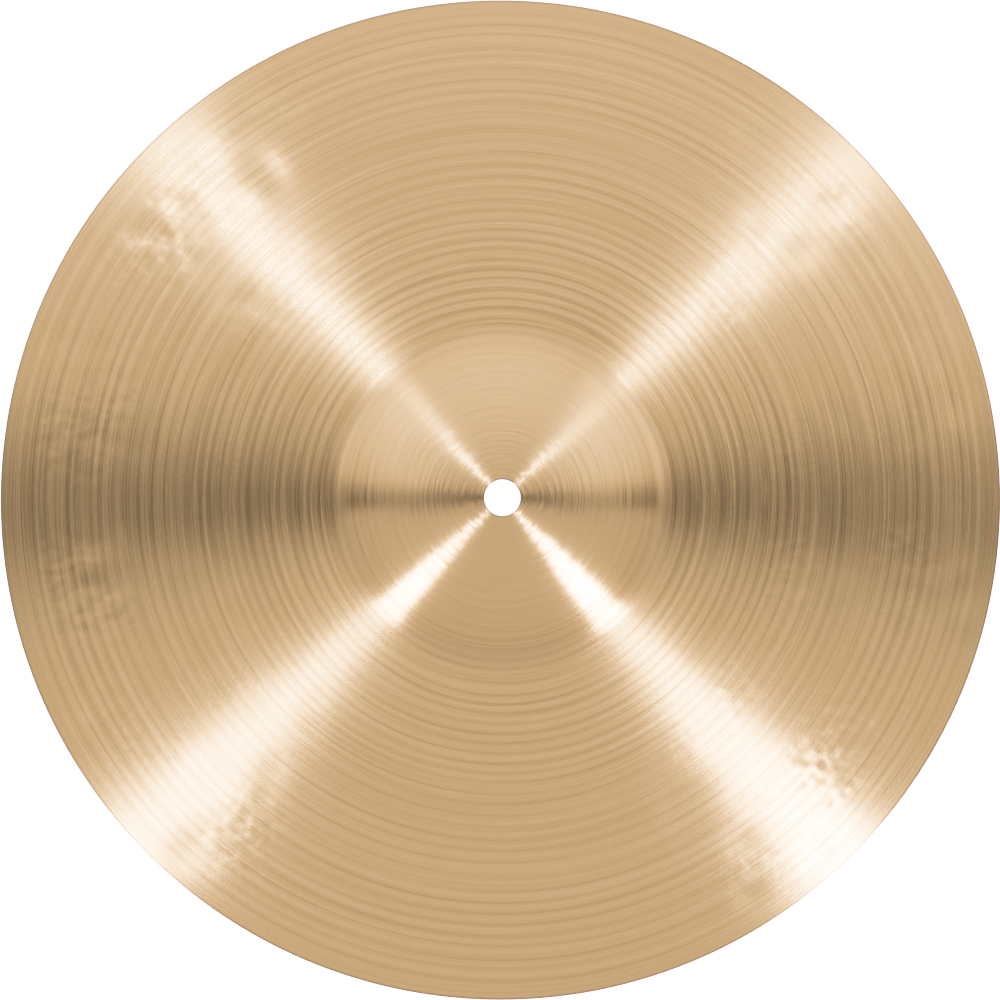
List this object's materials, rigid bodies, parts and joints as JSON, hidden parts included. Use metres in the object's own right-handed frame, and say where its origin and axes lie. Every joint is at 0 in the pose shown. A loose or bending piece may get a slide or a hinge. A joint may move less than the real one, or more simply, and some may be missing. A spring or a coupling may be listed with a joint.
{
  "type": "crash cymbal",
  "caption": "Thin round bronze crash cymbal with a domed bell, a central mounting hole, a shallow lathed and hammered bow and a rounded edge.",
  "frame": {"origin": "on the cymbal's axis, in the plane that its edge rests on", "axes": "+Z along the axis out of the top of the bell; +X and +Y are any two directions across the round disc"},
  "size_m": [0.3556, 0.3556, 0.0373],
  "materials": {
    "bronze": "satin"
  },
  "bodies": {
    "root": {"cymbal": "bronze"}
  },
  "joints": []
}
